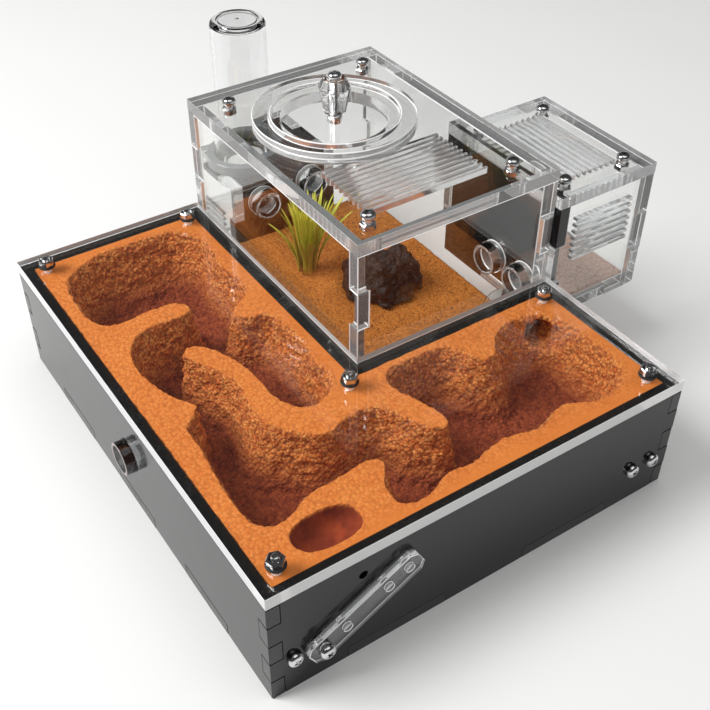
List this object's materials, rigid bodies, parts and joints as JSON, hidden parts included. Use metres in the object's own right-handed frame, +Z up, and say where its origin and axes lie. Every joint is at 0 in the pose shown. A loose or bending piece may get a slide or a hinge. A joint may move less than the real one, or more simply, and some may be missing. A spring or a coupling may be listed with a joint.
{
  "type": "ant habitat",
  "caption": "Modular ant habitat: an L-shaped nest of carved plaster under a clear lid, a clear foraging box with a lift-off hatch, a hung side box and a water box with a bottle tower.",
  "frame": {"origin": "centre of the whole habitat's footprint, on the surface it stands on", "axes": "+Z up; -Y towards the nest's front panel with the swing bar; +X towards the side box"},
  "size_m": [0.2258, 0.2466, 0.1216],
  "materials": {
    "black_acrylic": "black cast acrylic sheet, polished faces",
    "clear_acrylic": "clear cast acrylic sheet with laser-cut edges",
    "grey_acrylic": "smoke grey acrylic",
    "plaster": "tinted plaster, smooth on top and rough in the galleries",
    "steel": "bright nickel-plated steel",
    "washer_rubber": "black rubber",
    "sand": "fine loose sand",
    "rock": "dark broken rock",
    "grass": "soft plastic grass",
    "mat": "thin pinkish-brown mat",
    "plug_cotton": "pressed cotton"
  },
  "bodies": {
    "habitat": {"nest_floor": "black_acrylic", "nest_front_panel": "black_acrylic", "nest_left_panel": "black_acrylic", "nest_back_panel": "black_acrylic", "nest_right_panel": "black_acrylic", "nest_inner_side_panel": "black_acrylic", "nest_inner_front_panel": "black_acrylic", "nest_plaster": "plaster", "nest_lid": "clear_acrylic", "lid_studs": "steel", "lid_washers": "washer_rubber", "lid_nuts": "steel", "nest_port_tube": "clear_acrylic", "front_screws": "steel", "pivot_screw": "steel", "forage_floor": "clear_acrylic", "forage_front_wall": "clear_acrylic", "forage_back_wall": "clear_acrylic", "forage_left_wall": "clear_acrylic", "forage_right_wall": "clear_acrylic", "sand_bed": "sand", "rock": "rock", "grass_plant": "grass", "tunnel_tube": "clear_acrylic", "side_port_tubes": "clear_acrylic", "rear_port_tubes": "clear_acrylic", "side_port_panel": "black_acrylic", "side_front_wall": "clear_acrylic", "side_back_wall": "clear_acrylic", "side_right_wall": "clear_acrylic", "side_floor": "clear_acrylic", "side_floor_mat": "mat", "water_port_panel": "black_acrylic", "water_left_wall": "clear_acrylic", "water_right_wall": "clear_acrylic", "water_back_wall": "clear_acrylic", "water_floor": "clear_acrylic", "water_top": "black_acrylic", "tower_collar": "grey_acrylic"},
    "swing_bar": {"swing_bar": "clear_acrylic"},
    "forage_lid": {"forage_lid": "clear_acrylic", "forage_lid_screws": "steel", "forage_lid_nuts": "steel", "hatch_ring": "clear_acrylic"},
    "hatch": {"hatch_cover": "clear_acrylic", "hatch_knob": "clear_acrylic", "hatch_screw": "steel", "hatch_nut": "steel"},
    "side_lid": {"side_lid": "clear_acrylic", "side_lid_screws": "steel", "side_lid_nuts": "steel"},
    "bottle": {"tower_bottle": "clear_acrylic", "tower_plug": "plug_cotton"}
  },
  "joints": [
    {"name": "bar_swing", "type": "hinge", "parent": "habitat", "child": "swing_bar", "pos_m": [-0.0903, -0.1193, 0.016], "axis": [0, -1, 0], "range_deg": [-40, 60]},
    {"name": "forage_lid_lift", "type": "slide", "parent": "habitat", "child": "forage_lid", "axis": [0, 0, 1], "range_m": [0, 0.06]},
    {"name": "hatch_lift", "type": "slide", "parent": "forage_lid", "child": "hatch", "axis": [0, 0, 1], "range_m": [0, 0.04]},
    {"name": "side_lid_lift", "type": "slide", "parent": "habitat", "child": "side_lid", "axis": [0, 0, 1], "range_m": [0, 0.06]},
    {"name": "bottle_lift", "type": "slide", "parent": "habitat", "child": "bottle", "axis": [0, 0, 1], "range_m": [0, 0.05]}
  ]
}
